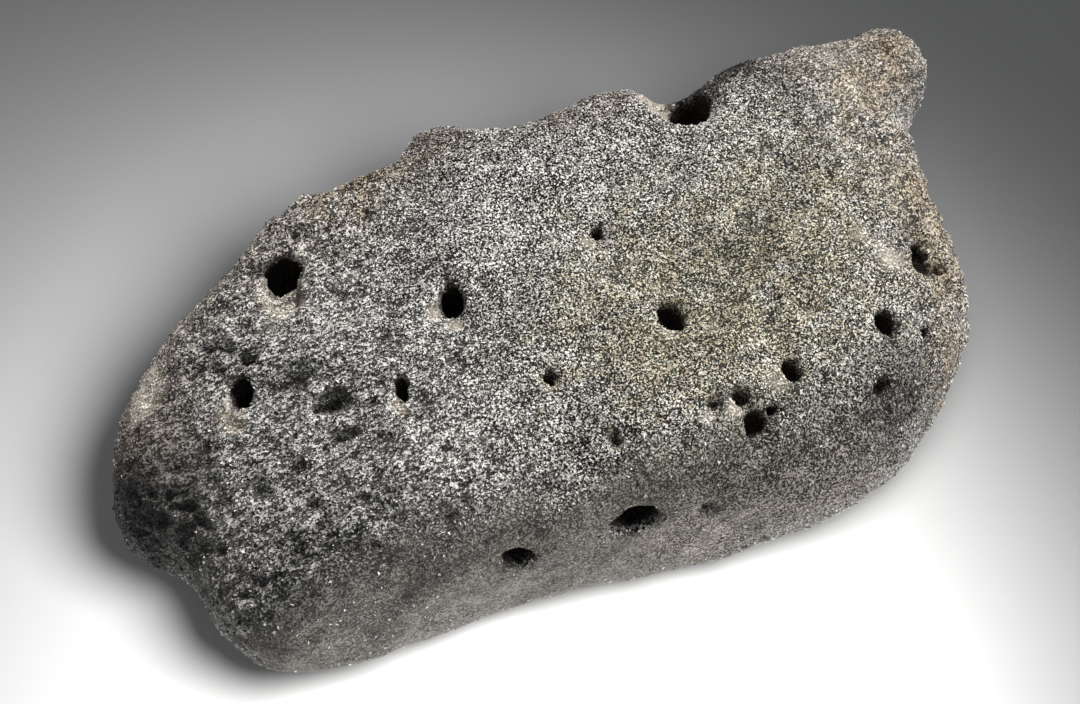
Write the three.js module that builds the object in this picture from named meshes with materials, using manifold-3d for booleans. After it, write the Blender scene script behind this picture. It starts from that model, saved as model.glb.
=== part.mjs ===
// A palm-sized meteorite: one thick, worn slab of granular grey rock.
//
// Its broad upper face is nearly flat, rises a little towards the back and falls away at the left
// end. The sides are steep and their edges are rounded. A blunt horn stands out at the back right,
// a knob and a bulge stand on the back edge, and next to the bulge a hole has broken through the
// edge as a notch. Small gas pits open in the upper face and in the front side. The underside is
// low and domed, and worn flat where the stone rests.
//
// Frame: X runs along the stone, towards the end with the horn; Y runs from the front side to the
// back; Z is up. The origin is under the middle of the stone, on the surface that it rests on.
// Sizes are in millimetres.

import * as THREE from "three";
import { mergeVertices } from "three/addons/utils/BufferGeometryUtils.js";
import Module from "manifold-3d";

const wasm = await Module();
wasm.setup();

const { clamp, degToRad, lerp, radToDeg } = THREE.MathUtils;

// ---- The slab -----------------------------------------------------------------------------------

const TOP_HEIGHT = 28.1; // of the upper face, over the origin
const TOP_RISE = 0.12; // of the upper face towards the back, in mm per mm
const LEFT_FALL = { start: -16.5, ease: 10, slope: 0.22 }; // the upper face slopes down to the left end
const UNDERSIDE = { depth: -0.7, rise: 0.0024, riseAcross: 0.006 }; // lowest point, and how it domes up
const HORN = { from: [29.4, 10.6], to: [46.8, 14.5], fromRadius: 8.9, toRadius: 5.3, ease: 4 }; // in plan
const HORN_LIFT = { start: 30, ease: 8, slope: 0.5 }; // the underside slopes up under the horn
const FOOT_ROUND = 7; // radius of the edge between the sides and the underside

// The slab's outline, seen from above: how far its side is from its middle at a bearing (in
// degrees, 0 at +X and 90 at the back), at the foot, at the waist and at the top, and the radius
// of the shoulder above it.
const MIDDLE = { x: -4.6, y: 3.6 };
const OUTLINE = [
  { bearing: -178, foot: 41.5, waist: 46.0, top: 48.6, shoulder: 7 },
  { bearing: -169, foot: 40.4, waist: 42.9, top: 43.2, shoulder: 7 },
  { bearing: -160, foot: 42.4, waist: 43.4, top: 41.7, shoulder: 7 },
  { bearing: -151, foot: 41.3, waist: 41.8, top: 39.5, shoulder: 7 },
  { bearing: -144, foot: 35.8, waist: 36.3, top: 34.4, shoulder: 8 },
  { bearing: -134, foot: 30.0, waist: 30.8, top: 28.8, shoulder: 8 },
  { bearing: -120, foot: 25.6, waist: 26.7, top: 25.8, shoulder: 8 },
  { bearing: -102, foot: 24.5, waist: 25.5, top: 24.5, shoulder: 8 },
  { bearing: -86, foot: 25.4, waist: 26.7, top: 25.6, shoulder: 8 },
  { bearing: -72, foot: 27.6, waist: 29.6, top: 27.8, shoulder: 8 },
  { bearing: -58, foot: 33.1, waist: 35.0, top: 33.2, shoulder: 9 },
  { bearing: -48, foot: 36.6, waist: 39.4, top: 37.6, shoulder: 10 },
  { bearing: -36, foot: 39.6, waist: 42.6, top: 41.0, shoulder: 10 },
  { bearing: -26, foot: 41.5, waist: 45.5, top: 44.0, shoulder: 10 },
  { bearing: -16, foot: 42.0, waist: 47.0, top: 46.5, shoulder: 11 },
  { bearing: -6, foot: 42.0, waist: 47.5, top: 47.5, shoulder: 11 },
  { bearing: 3, foot: 42.0, waist: 48.0, top: 49.0, shoulder: 10 },
  { bearing: 9, foot: 41.0, waist: 45.5, top: 46.0, shoulder: 9 },
  { bearing: 15, foot: 38.5, waist: 42.5, top: 43.0, shoulder: 7 },
  { bearing: 20, foot: 35.0, waist: 39.9, top: 40.5, shoulder: 5 },
  { bearing: 25, foot: 31.0, waist: 35.2, top: 35.6, shoulder: 4 },
  { bearing: 31, foot: 27.0, waist: 29.7, top: 30.1, shoulder: 4 },
  { bearing: 39, foot: 24.0, waist: 27.3, top: 28.0, shoulder: 4 },
  { bearing: 47, foot: 21.5, waist: 24.3, top: 24.7, shoulder: 4 },
  { bearing: 57, foot: 18.5, waist: 20.7, top: 21.1, shoulder: 4 },
  { bearing: 67, foot: 18.5, waist: 20.0, top: 20.5, shoulder: 4 },
  { bearing: 80, foot: 18.5, waist: 20.5, top: 21.0, shoulder: 4 },
  { bearing: 96, foot: 19.0, waist: 22.0, top: 22.5, shoulder: 4 },
  { bearing: 109, foot: 18.5, waist: 20.9, top: 21.1, shoulder: 5 },
  { bearing: 120, foot: 21.2, waist: 22.9, top: 23.1, shoulder: 5 },
  { bearing: 132, foot: 25.4, waist: 27.9, top: 28.2, shoulder: 6 },
  { bearing: 145, foot: 29.5, waist: 31.5, top: 31.6, shoulder: 6 },
  { bearing: 158, foot: 35.5, waist: 38.8, top: 39.4, shoulder: 7 },
  { bearing: 170, foot: 40.0, waist: 43.8, top: 44.4, shoulder: 7 },
];

// One of the outline's measures at any bearing in radians, on a smooth closed curve through the
// values above.
function onOutline(measure, angle) {
  const turn = 360;
  const count = OUTLINE.length;
  const row = (i) => OUTLINE[(i + count) % count];
  const bearingOf = (i) => row(i).bearing + turn * Math.floor(i / count);
  const slopeAt = (i) => {
    const rise = row(i + 1)[measure] - row(i - 1)[measure];
    return rise / (bearingOf(i + 1) - bearingOf(i - 1));
  };
  let bearing = radToDeg(angle);
  if (bearing < bearingOf(0)) bearing += turn;
  let i = 0;
  while (bearingOf(i + 1) <= bearing) i += 1;
  const gap = bearingOf(i + 1) - bearingOf(i);
  const t = (bearing - bearingOf(i)) / gap;
  const rest = 1 - t;
  return (
    row(i)[measure] * (1 + 2 * t) * rest * rest +
    slopeAt(i) * gap * t * rest * rest +
    row(i + 1)[measure] * (1 + 2 * rest) * t * t -
    slopeAt(i + 1) * gap * rest * t * t
  );
}

// Zero up to a start, then growing one for one, with an eased bend between the two.
function pastStart(distance, ease) {
  if (distance <= -ease) return 0;
  if (distance >= ease) return distance;
  return (distance + ease) ** 2 / (4 * ease);
}

function topHeight(x, y) {
  return TOP_HEIGHT + TOP_RISE * y - LEFT_FALL.slope * pastStart(LEFT_FALL.start - x, LEFT_FALL.ease);
}

function undersideHeight(x, y) {
  const dome = UNDERSIDE.depth + UNDERSIDE.rise * x * x + UNDERSIDE.riseAcross * y * y;
  return dome + HORN_LIFT.slope * pastStart(x - HORN_LIFT.start, HORN_LIFT.ease);
}

// The distance from the slab's middle to its side, for a share of its height from 0 (foot) to 1 (top).
function sideReach(angle, share) {
  const end = share < 0.5 ? "foot" : "top";
  return lerp(onOutline("waist", angle), onOutline(end, angle), (2 * share - 1) ** 2);
}

// The distance to the horn's outline, which tapers along a straight line from the slab to its blunt tip.
function besideHorn(x, y) {
  const [fromX, fromY] = HORN.from;
  const along = [HORN.to[0] - fromX, HORN.to[1] - fromY];
  const length = Math.hypot(...along);
  const t = clamp(((x - fromX) * along[0] + (y - fromY) * along[1]) / length ** 2, 0, 1);
  const radius = lerp(HORN.fromRadius, HORN.toRadius, t);
  return Math.hypot(x - fromX - t * along[0], y - fromY - t * along[1]) - radius;
}

// The smaller of two distances, with the corner between them eased.
function easedUnion(a, b, ease) {
  const near = Math.max(ease - Math.abs(a - b), 0) / ease;
  return Math.min(a, b) - (near * near * ease) / 4;
}

// ---- Swells and waves of the skin ---------------------------------------------------------------

// Broad swells and hollows: where each is, how far it reaches and how far it lifts the skin.
const SWELLS = [
  { at: [-7.4, 25.4, 25.5], reach: 3.4, rise: 1.8 }, // the knob on the back edge
  { at: [10.8, 22.6, 26], reach: 6, rise: 0.6 }, // the bulge beside the notch
  { at: [0.9, 24.6, 27], reach: 3, rise: -0.6 }, // the dip between them
  { at: [-47.6, 1.6, 9], reach: 4.5, rise: -0.6 }, // the pocket under the left tip
  { at: [-47.6, 9.6, 19], reach: 6, rise: 0.7 }, // the left tip
  { at: [-26.6, 22.4, 27], reach: 3, rise: 0.6 }, // the low bump on the back rim
  { at: [41.4, -3.4, 27], reach: 8, rise: -1.2 }, // the slanted face below the horn
];

// Low waves over the whole skin, so that no face is quite flat.
const WAVES = [
  { along: [1, 0.4, 0.5], length: 19, rise: 0.22, start: 5.5 },
  { along: [-0.5, 1, 0.6], length: 14, rise: 0.2, start: 1.9 },
  { along: [0.3, -0.6, 1], length: 11.5, rise: 0.2, start: 4.1 },
  { along: [0.8, 0.9, -0.8], length: 9, rise: 0.15, start: 0.6 },
  { along: [-0.9, 0.5, 0.9], length: 7, rise: 0.12, start: 0.4 },
].map((wave) => ({ ...wave, along: new THREE.Vector3(...wave.along).normalize() }));

function liftAt(point) {
  let lift = 0;
  for (const { at, reach, rise } of SWELLS) {
    const away = Math.hypot(point.x - at[0], point.y - at[1], point.z - at[2]) / reach;
    lift += rise * Math.exp(-away * away);
  }
  for (const { along, length, rise, start } of WAVES) {
    lift += rise * Math.sin((2 * Math.PI * point.dot(along)) / length + start);
  }
  return lift;
}

// ---- Gas pits -----------------------------------------------------------------------------------

// Pits in the upper face: the middle of the mouth in plan, its width and length, the bearing of
// its length, and its depth.
const TOP_PITS = [
  { at: [-27.2, 15.6], width: 3.7, length: 3.9, bearing: 40, depth: 5 },
  { at: [-28.2, 13.2], width: 4.4, length: 3.6, bearing: 20, depth: 1.4 }, // its worn lip
  { at: [-13.9, 4.3], width: 2.4, length: 3.6, bearing: 66, depth: 4.5 },
  { at: [-15, 2.9], width: 3.2, length: 3, bearing: 66, depth: 0.9 }, // its worn lip
  { at: [4.6, -6.5], width: 2.5, length: 4, bearing: 92, depth: 3.6 },
  { at: [-35.7, 5.7], width: 2.4, length: 4, bearing: 60, depth: 3.4 },
  { at: [-33.7, 8.3], width: 1.3, length: 1.8, bearing: -10, depth: 1.4 },
  { at: [-22.1, -2.1], width: 1.7, length: 2.9, bearing: 72, depth: 2.6 },
  { at: [2.8, 5.3], width: 1.2, length: 1.5, bearing: 40, depth: 1.5 },
  { at: [-9.2, -7.6], width: 1.5, length: 2, bearing: 98, depth: 2 },
  { at: [-6.7, -15.8], width: 1.4, length: 2.2, bearing: 60, depth: 1.3 },
  { at: [12.1, -16.6], width: 1.8, length: 2.6, bearing: 92, depth: 2.2 },
  { at: [6.2, -17.3], width: 1.9, length: 2.2, bearing: 85, depth: 1.6 },
  { at: [6.4, -19.6], width: 2.5, length: 2.7, bearing: 40, depth: 2 },
  { at: [8.4, -19.1], width: 1.3, length: 1.4, bearing: 0, depth: 1.8 },
  { at: [3.3, -16.9], width: 1.6, length: 1.8, bearing: 110, depth: 1.2 },
  { at: [23.6, -16], width: 2, length: 3.1, bearing: 88, depth: 2.6 },
  { at: [32.3, -10.8], width: 3, length: 4.2, bearing: 75, depth: 2.4 },
  { at: [20, -21.2], width: 1.8, length: 2.4, bearing: 60, depth: 1.5 },
  { at: [27.9, -17.9], width: 1.3, length: 1.6, bearing: 75, depth: 1.1 },
  { at: [-17.2, 17], width: 1.9, length: 2.1, bearing: 30, depth: 1.1 },
  { at: [-28.6, 0.4], width: 2.4, length: 3.6, bearing: 0, depth: 1.4 },
  { at: [-21.1, -9.9], width: 1.5, length: 1.7, bearing: 0, depth: 1.1 },
  { at: [-31, 4.1], width: 2.2, length: 2.4, bearing: 60, depth: 1 },
  { at: [-29, -3.4], width: 1.7, length: 4, bearing: -10, depth: 0.9 },
  { at: [-41.3, 3], width: 1.5, length: 2.6, bearing: -15, depth: 0.9 },
  { at: [34, -12], width: 1.4, length: 2.2, bearing: -40, depth: 1.3 },
];

// Pits in the sides: the bearing and height of the middle of the mouth, its width and height, and
// its depth.
const SIDE_PITS = [
  { bearing: -96, height: 19.5, width: 5.4, tall: 3, depth: 3.4 },
  { bearing: -121, height: 19, width: 3.8, tall: 2, depth: 2 },
  { bearing: -81, height: 19, width: 1.8, tall: 1.3, depth: 1 },
  { bearing: -153, height: 9, width: 2.4, tall: 2.6, depth: 1 },
  { bearing: 58, height: 15, width: 3.2, tall: 2.6, depth: 2.4 },
  { bearing: 112, height: 10, width: 2.2, tall: 2.4, depth: 1.8 },
  { bearing: 150, height: 14, width: 2.8, tall: 2.2, depth: 2 },
];

// Pits in the underside, given as those in the upper face are.
const UNDER_PITS = [
  { at: [-20.6, 10.6], width: 3.2, length: 3.8, bearing: 20, depth: 2.8 },
  { at: [17.4, -7.4], width: 2.4, length: 3, bearing: 80, depth: 2.2 },
  { at: [23.4, 7.6], width: 2, length: 2.2, bearing: 0, depth: 1.6 },
  { at: [-29.6, -4.4], width: 2.2, length: 2.6, bearing: 130, depth: 1.8 },
];

// The notch beside the bulge: an open bite out of the back edge, and the deep hole that it broke into.
const NOTCH = [
  { at: [18.6, 19, 33], size: [8.4, 14.6, 12.4] },
  { at: [19.9, 15.5, 27.6], size: [4.4, 5, 9] },
];

// ---- The stone as a field -----------------------------------------------------------------------

// The larger of two depths, with the corner between them rounded to a radius.
function roundedCorner(a, b, radius) {
  const over = Math.hypot(Math.max(a + radius, 0), Math.max(b + radius, 0));
  return Math.min(-radius, Math.max(a, b)) + over;
}

// How far a point is outside the stone's skin, in mm: negative inside. It leaves out the pits and the flat.
function outsideBy(point) {
  const x = point.x - MIDDLE.x;
  const y = point.y - MIDDLE.y;
  const angle = Math.atan2(y, x);
  const share = clamp(point.z / TOP_HEIGHT, 0, 1);
  const reach = sideReach(angle, share);
  const ahead = 0.02;
  const turning = (sideReach(angle + ahead, share) - reach) / (ahead * reach);
  const besideSlab = (Math.hypot(x, y) - reach) / Math.hypot(1, turning);
  const side = easedUnion(besideSlab, besideHorn(point.x, point.y), HORN.ease);
  const above = point.z - topHeight(point.x, point.y);
  const below = undersideHeight(point.x, point.y) - point.z;
  const upper = roundedCorner(side, above, onOutline("shoulder", angle));
  return roundedCorner(upper, below, FOOT_ROUND) - liftAt(point);
}

function outwardAt(point) {
  const probe = 0.1;
  const slope = ["x", "y", "z"].map((axis) => {
    const ahead = point.clone();
    const behind = point.clone();
    ahead[axis] += probe;
    behind[axis] -= probe;
    return (outsideBy(ahead) - outsideBy(behind)) / (2 * probe);
  });
  return new THREE.Vector3(...slope);
}

// Moves a point that is near the skin on to it.
function drawToSkin(point) {
  const slope = outwardAt(point);
  return point.addScaledVector(slope, -outsideBy(point) / slope.lengthSq());
}

// ---- The skin as triangles ----------------------------------------------------------------------

const CELL = 2.5; // edge of the small cubes that the skin is found with
const LOW = new THREE.Vector3(-58, -34, -4.4); // the corners of the space that is searched
const HIGH = new THREE.Vector3(58, 34, 36);
const RELAXING = { rounds: 4, share: 0.6 };
const CUBE_CORNERS = [0, 1, 2, 3, 4, 5, 6, 7].map((n) => [n & 1, (n >> 1) & 1, n >> 2]);

// The space round the stone is divided into small cubes. Each cube that the skin passes through
// gets one point, and the four cubes round a cube's edge that crosses the skin give one square,
// which is two triangles.
function makeSkin() {
  const [nx, ny, nz] = HIGH.clone().sub(LOW).divideScalar(CELL).ceil().toArray();
  const steps = [1, nx + 1, (nx + 1) * (ny + 1)];
  const depths = new Float64Array(steps[2] * (nz + 1));
  const cornerAt = (i, j, k) => new THREE.Vector3(i, j, k).multiplyScalar(CELL).add(LOW);
  const everyCube = (from, visit) => {
    for (let k = from; k < nz; k += 1) {
      for (let j = from; j < ny; j += 1) {
        for (let i = from; i < nx; i += 1) visit(i, j, k, i + j * steps[1] + k * steps[2]);
      }
    }
  };
  everyCube(0, (i, j, k, at) => {
    depths[at] = outsideBy(cornerAt(i, j, k));
  });

  const points = [];
  const pointOfCube = new Map();
  everyCube(1, (i, j, k, at) => {
    const signs = CUBE_CORNERS.map(([a, b, c]) => depths[at - a - b * steps[1] - c * steps[2]] < 0);
    if (signs.every((sign) => sign === signs[0])) return;
    pointOfCube.set(at, points.length);
    points.push(drawToSkin(drawToSkin(cornerAt(i - 0.5, j - 0.5, k - 0.5))));
  });

  const triangles = [];
  everyCube(1, (i, j, k, at) => {
    for (let axis = 0; axis < 3; axis += 1) {
      const inside = depths[at] < 0;
      if (inside === depths[at - steps[axis]] < 0) continue;
      const u = steps[(axis + 1) % 3];
      const v = steps[(axis + 2) % 3];
      const ring = [at, at + u, at + u + v, at + v].map((cube) => pointOfCube.get(cube));
      const [a, b, c, d] = inside ? ring.reverse() : ring;
      const short = points[a].distanceTo(points[c]) < points[b].distanceTo(points[d]);
      triangles.push(...(short ? [a, b, c, a, c, d] : [a, b, d, b, c, d]));
    }
  });
  return { points, triangles };
}

// Evens out the triangles: each point moves towards the middle of its neighbours, and back to
// the skin.
function relax({ points, triangles }) {
  const neighbours = points.map(() => new Set());
  for (let t = 0; t < triangles.length; t += 3) {
    for (let c = 0; c < 3; c += 1) {
      neighbours[triangles[t + c]].add(triangles[t + ((c + 1) % 3)]);
      neighbours[triangles[t + ((c + 1) % 3)]].add(triangles[t + c]);
    }
  }
  let places = points;
  for (let round = 0; round < RELAXING.rounds; round += 1) {
    places = places.map((point, i) => {
      const middle = new THREE.Vector3();
      for (const n of neighbours[i]) middle.add(places[n]);
      middle.divideScalar(neighbours[i].size);
      return drawToSkin(point.clone().lerp(middle, RELAXING.share));
    });
  }
  return places;
}

// ---- Cutting ------------------------------------------------------------------------------------

const SAME_PLACE = 1e-4; // points closer than this are one point

// A three.js geometry as a solid that can be cut, and back again.
function toSolid(geometry) {
  const bare = new THREE.BufferGeometry();
  bare.setAttribute("position", geometry.getAttribute("position"));
  bare.setIndex(geometry.getIndex());
  const merged = mergeVertices(bare, SAME_PLACE);
  const vertProperties = new Float32Array(merged.getAttribute("position").array);
  const triVerts = new Uint32Array(merged.getIndex().array);
  return new wasm.Manifold(new wasm.Mesh({ numProp: 3, vertProperties, triVerts }));
}

function toGeometry(solid) {
  const { vertProperties, triVerts } = solid.getMesh();
  const geometry = new THREE.BufferGeometry();
  geometry.setAttribute("position", new THREE.BufferAttribute(new Float32Array(vertProperties), 3));
  geometry.setIndex(new THREE.BufferAttribute(new Uint32Array(triVerts), 1));
  return geometry;
}

const PIT = {
  lumpiness: 0.05, // how far its wall swings in and out, as a share of its size
  large: 4.5, // a mouth wider than this gets finer facets
  widening: 1.06, // the pit's greatest width, over that of its mouth
  tall: 1.5, // the whole body's height, over the pit's depth
  sunk: 0.25, // how far the body's middle lies under the skin, over the pit's depth
};

// A lumpy round body, size[0] by size[1] by size[2], which leaves a hole of its own shape.
function lumpyBody(size, seed) {
  const large = Math.max(size[0], size[1]) > PIT.large;
  const body = new THREE.IcosahedronGeometry(1, large ? 2 : 1);
  const position = body.getAttribute("position");
  const point = new THREE.Vector3();
  for (let i = 0; i < position.count; i += 1) {
    point.fromBufferAttribute(position, i);
    const lumps =
      Math.sin(3.1 * point.x + seed) +
      Math.sin(3.7 * point.y + 2 * seed) +
      Math.sin(4.3 * point.z + 3 * seed);
    point.multiplyScalar(1 + PIT.lumpiness * lumps);
    position.setXYZ(i, point.x, point.y, point.z);
  }
  return body.scale(size[0] / 2, size[1] / 2, size[2] / 2);
}

// The place where a straight line from a start meets the skin.
function meetSkin(start, direction) {
  const halvings = 30;
  let near = 0;
  let far = 80;
  for (let halving = 0; halving < halvings; halving += 1) {
    const middle = (near + far) / 2;
    if (outsideBy(start.clone().addScaledVector(direction, middle)) < 0) near = middle;
    else far = middle;
  }
  return start.clone().addScaledVector(direction, near);
}

// The body that cuts a pit: most of it lies under the skin, so that the mouth is a little
// narrower than the pit.
function pitBody(mouth, width, length, bearing, depth, seed) {
  const outward = outwardAt(mouth).normalize();
  const size = [PIT.widening * length, PIT.widening * width, PIT.tall * depth];
  const upright = new THREE.Vector3(0, 0, 1);
  const body = lumpyBody(size, seed);
  body.rotateZ(degToRad(bearing));
  body.applyQuaternion(new THREE.Quaternion().setFromUnitVectors(upright, outward));
  const middle = mouth.clone().addScaledVector(outward, -PIT.sunk * depth);
  return body.translate(middle.x, middle.y, middle.z);
}

function pitBodies() {
  const inside = TOP_HEIGHT / 2;
  const bodies = [];
  for (const { at, width, length, bearing, depth } of TOP_PITS) {
    const mouth = meetSkin(new THREE.Vector3(...at, inside), new THREE.Vector3(0, 0, 1));
    bodies.push(pitBody(mouth, width, length, bearing, depth, bodies.length));
  }
  for (const { bearing, height, width, tall, depth } of SIDE_PITS) {
    const away = new THREE.Vector3(Math.cos(degToRad(bearing)), Math.sin(degToRad(bearing)), 0);
    const mouth = meetSkin(new THREE.Vector3(MIDDLE.x, MIDDLE.y, height), away);
    bodies.push(pitBody(mouth, tall, width, bearing + 90, depth, bodies.length));
  }
  for (const { at, width, length, bearing, depth } of UNDER_PITS) {
    const mouth = meetSkin(new THREE.Vector3(...at, inside), new THREE.Vector3(0, 0, -1));
    mouth.z = Math.max(mouth.z, 0);
    bodies.push(pitBody(mouth, width, length, bearing, depth, bodies.length));
  }
  for (const { at, size } of NOTCH) {
    bodies.push(lumpyBody(size, bodies.length).translate(...at));
  }
  return bodies;
}

// ---- The stone ----------------------------------------------------------------------------------

function makeStone() {
  const skin = makeSkin();
  const slab = new THREE.BufferGeometry().setFromPoints(relax(skin));
  slab.setIndex(skin.triangles);
  const groundDepth = 20;
  const ground = new THREE.BoxGeometry(200, 200, groundDepth).translate(0, 0, -groundDepth / 2);
  let stone = toSolid(slab).subtract(toSolid(ground));
  for (const body of pitBodies()) stone = stone.subtract(toSolid(body));
  return toGeometry(stone);
}

const stoneMaterial = new THREE.MeshStandardMaterial({ color: 0x77736c, roughness: 0.85, metalness: 0 });
const meteorite = new THREE.Mesh(makeStone(), stoneMaterial);
meteorite.name = "meteorite";

const object = new THREE.Group();
object.add(meteorite);

export default object;
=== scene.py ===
# %% [markdown]
# # A pitted meteorite, finished in Blender
#
# The real thing is one stone: a thick slab of granular grey rock, worn round at its edges, with
# gas pits in its upper face, a blunt horn at one end and a broken notch in its back edge. A packed
# solid already holds its size and its main forms. This lesson gives it a fine skin, a stony
# finish, a camera and light. The stone's own measures are in millimetres here, because that is
# how one measures a hand specimen, and they become metres only where a mesh is made.

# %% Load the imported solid
import itertools
import math

import bpy
import numpy as np
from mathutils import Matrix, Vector
from mathutils.kdtree import KDTree


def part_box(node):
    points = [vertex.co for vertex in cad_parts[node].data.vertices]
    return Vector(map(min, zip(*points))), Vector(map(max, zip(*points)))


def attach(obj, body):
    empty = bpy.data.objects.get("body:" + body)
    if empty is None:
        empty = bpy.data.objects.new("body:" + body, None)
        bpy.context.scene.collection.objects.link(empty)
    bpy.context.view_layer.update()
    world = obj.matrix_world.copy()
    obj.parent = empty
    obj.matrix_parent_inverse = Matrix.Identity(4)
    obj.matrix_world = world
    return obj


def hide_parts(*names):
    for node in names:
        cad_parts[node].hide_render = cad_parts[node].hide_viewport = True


MM = 0.001

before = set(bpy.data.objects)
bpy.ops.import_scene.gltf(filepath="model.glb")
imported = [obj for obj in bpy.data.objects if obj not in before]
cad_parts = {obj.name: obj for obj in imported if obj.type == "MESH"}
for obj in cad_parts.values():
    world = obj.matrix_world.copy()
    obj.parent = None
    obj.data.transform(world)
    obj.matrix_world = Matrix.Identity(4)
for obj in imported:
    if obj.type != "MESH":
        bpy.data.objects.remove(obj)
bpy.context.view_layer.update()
low_corner, high_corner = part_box("meteorite")
print("packed solid, mm:", [round(side / MM, 1) for side in high_corner - low_corner])

# %% [markdown]
# ## The camera
#
# The camera comes first, since it settles which detail can be seen at all. It looks down on the
# upper face from the front left, as a person does who bends over a stone on a table. It stands
# close, so the near end of the stone looks larger than the far end. A moderate lens at that
# distance gives the same perspective as a phone that is held over the stone.

# %% Set up the camera
LOOK_AT = Vector((-4.6, 3.6, 14)) * MM
CAMERA_TURN = math.radians(-27)
CAMERA_RISE = math.radians(55)
CAMERA_DISTANCE = 130 * MM
CAMERA_LENS = 40
NEAREST_SEEN = 10 * MM

away = Vector(
    (
        math.sin(CAMERA_TURN) * math.cos(CAMERA_RISE),
        -math.cos(CAMERA_TURN) * math.cos(CAMERA_RISE),
        math.sin(CAMERA_RISE),
    )
)
camera = bpy.data.objects.new("camera", bpy.data.cameras.new("camera"))
camera.data.lens = CAMERA_LENS
camera.data.clip_start = NEAREST_SEEN
camera.location = LOOK_AT + away * CAMERA_DISTANCE
camera.rotation_euler = away.to_track_quat("Z", "Y").to_euler()
bpy.context.scene.collection.objects.link(camera)
bpy.context.scene.camera = camera
print("camera at, mm:", [round(value / MM) for value in camera.location])

# %% [markdown]
# ## The slab's outline
#
# The stone has no straight line in it, so its plan is given by bearings, as one would measure it
# on a turntable: at each bearing, how far the side is from the middle at the foot, the waist and
# the top, and how round the shoulder above it is. Thirty-four bearings carry every bay and bulge,
# and a smooth closed curve runs through them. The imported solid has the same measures, so the fine
# skin lies where the solid is.

# %% Measure the outline
MIDDLE = (-4.6, 3.6)
BEARING, FOOT, WAIST, TOP, SHOULDER = range(5)
OUTLINE = np.array(
    [
        (-178, 41.5, 46.0, 48.6, 7),
        (-169, 40.4, 42.9, 43.2, 7),
        (-160, 42.4, 43.4, 41.7, 7),
        (-151, 41.3, 41.8, 39.5, 7),
        (-144, 35.8, 36.3, 34.4, 8),
        (-134, 30.0, 30.8, 28.8, 8),
        (-120, 25.6, 26.7, 25.8, 8),
        (-102, 24.5, 25.5, 24.5, 8),
        (-86, 25.4, 26.7, 25.6, 8),
        (-72, 27.6, 29.6, 27.8, 8),
        (-58, 33.1, 35.0, 33.2, 9),
        (-48, 36.6, 39.4, 37.6, 10),
        (-36, 39.6, 42.6, 41.0, 10),
        (-26, 41.5, 45.5, 44.0, 10),
        (-16, 42.0, 47.0, 46.5, 11),
        (-6, 42.0, 47.5, 47.5, 11),
        (3, 42.0, 48.0, 49.0, 10),
        (9, 41.0, 45.5, 46.0, 9),
        (15, 38.5, 42.5, 43.0, 7),
        (20, 35.0, 39.9, 40.5, 5),
        (25, 31.0, 35.2, 35.6, 4),
        (31, 27.0, 29.7, 30.1, 4),
        (39, 24.0, 27.3, 28.0, 4),
        (47, 21.5, 24.3, 24.7, 4),
        (57, 18.5, 20.7, 21.1, 4),
        (67, 18.5, 20.0, 20.5, 4),
        (80, 18.5, 20.5, 21.0, 4),
        (96, 19.0, 22.0, 22.5, 4),
        (109, 18.5, 20.9, 21.1, 5),
        (120, 21.2, 22.9, 23.1, 5),
        (132, 25.4, 27.9, 28.2, 6),
        (145, 29.5, 31.5, 31.6, 6),
        (158, 35.5, 38.8, 39.4, 7),
        (170, 40.0, 43.8, 44.4, 7),
    ]
)
TURN = 360.0


def closed_curve(measure, bearings):
    """One measure of the outline at any bearings in degrees, on a smooth closed curve."""
    once_round = [TURN, 0, 0, 0, 0]
    known = np.concatenate([OUTLINE[-2:] - once_round, OUTLINE, OUTLINE[:2] + once_round])
    at, value = known[:, BEARING], known[:, measure]
    slope = np.gradient(value)
    slope[1:-1] = (value[2:] - value[:-2]) / (at[2:] - at[:-2])
    start = np.searchsorted(at, bearings, side="right") - 1
    gap = at[start + 1] - at[start]
    t = (bearings - at[start]) / gap
    rest = 1 - t
    return (
        value[start] * (1 + 2 * t) * rest**2
        + slope[start] * gap * t * rest**2
        + value[start + 1] * (1 + 2 * rest) * t**2
        - slope[start + 1] * gap * rest * t**2
    )


ALL_ROUND = np.arange(-1800, 1801) / 10
curves = {measure: closed_curve(measure, ALL_ROUND) for measure in (FOOT, WAIST, TOP, SHOULDER)}


def on_outline(measure, angle):
    """The same measure at angles in radians, read from the finished curve."""
    return np.interp(np.degrees(angle), ALL_ROUND, curves[measure], period=TURN)


print("outline bearings:", len(OUTLINE), "greatest reach, mm:", OUTLINE[:, TOP].max())

# %% [markdown]
# ## The stone as a depth
#
# A worn stone is easiest to describe by one question: how far is this point outside the skin?
# Walls, upper face and underside each answer it, and rounding the corner between two answers
# wears the edge between them, as tumbling does. A mesh modelled by hand would need its edges
# worn one by one. The same question also gives the direction straight out of the skin anywhere,
# which the pits need. The horn is a form of its own that tapers out of the slab, joined to it
# with an eased corner, and its underside rises clear of the ground.

# %% Answer how far a point is outside
TOP_HEIGHT = 28.1
TOP_RISE = 0.12  # for each mm towards the back
LEFT_FALL = {"start": -16.5, "ease": 10, "slope": 0.22}
UNDERSIDE = {"depth": -0.7, "rise": 0.0024, "rise_across": 0.006}
HORN = {"from": (29.4, 10.6), "to": (46.8, 14.5), "from_radius": 8.9, "to_radius": 5.3, "ease": 4}
HORN_LIFT = {"start": 30, "ease": 8, "slope": 0.5}
FOOT_ROUND = 7
LOOK_AHEAD = 0.02  # radians along the outline, to find which way it turns


def past_start(distance, ease):
    """Zero up to a start, then growing one for one, with an eased bend between the two."""
    bend = np.clip(distance + ease, 0, 2 * ease) ** 2 / (4 * ease)
    return np.where(distance > ease, distance, bend)


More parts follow.
